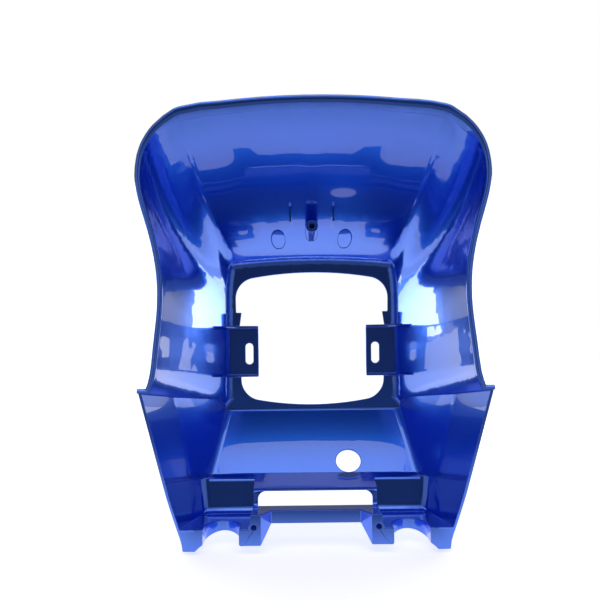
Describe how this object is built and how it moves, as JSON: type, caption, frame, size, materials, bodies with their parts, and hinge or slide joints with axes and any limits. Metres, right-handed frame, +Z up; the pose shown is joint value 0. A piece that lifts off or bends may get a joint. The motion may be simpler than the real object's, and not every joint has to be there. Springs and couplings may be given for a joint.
{
  "type": "headlight cowl",
  "caption": "One-piece moulded motorbike headlight cowl with a raked screen, cheeks, slotted lamp tabs, a chin with a cable slot and notches that clear the fork tubes.",
  "frame": {"origin": "middle of the lamp opening, on the inner face of the frame round it", "axes": "+X to the right seen from behind, +Y to the front of the bike, +Z up"},
  "size_m": [0.3176, 0.1846, 0.4161],
  "materials": {
    "paint": "metallic blue paint under clear lacquer"
  },
  "bodies": {
    "root": {"headlight_cowl": "paint"}
  },
  "joints": []
}
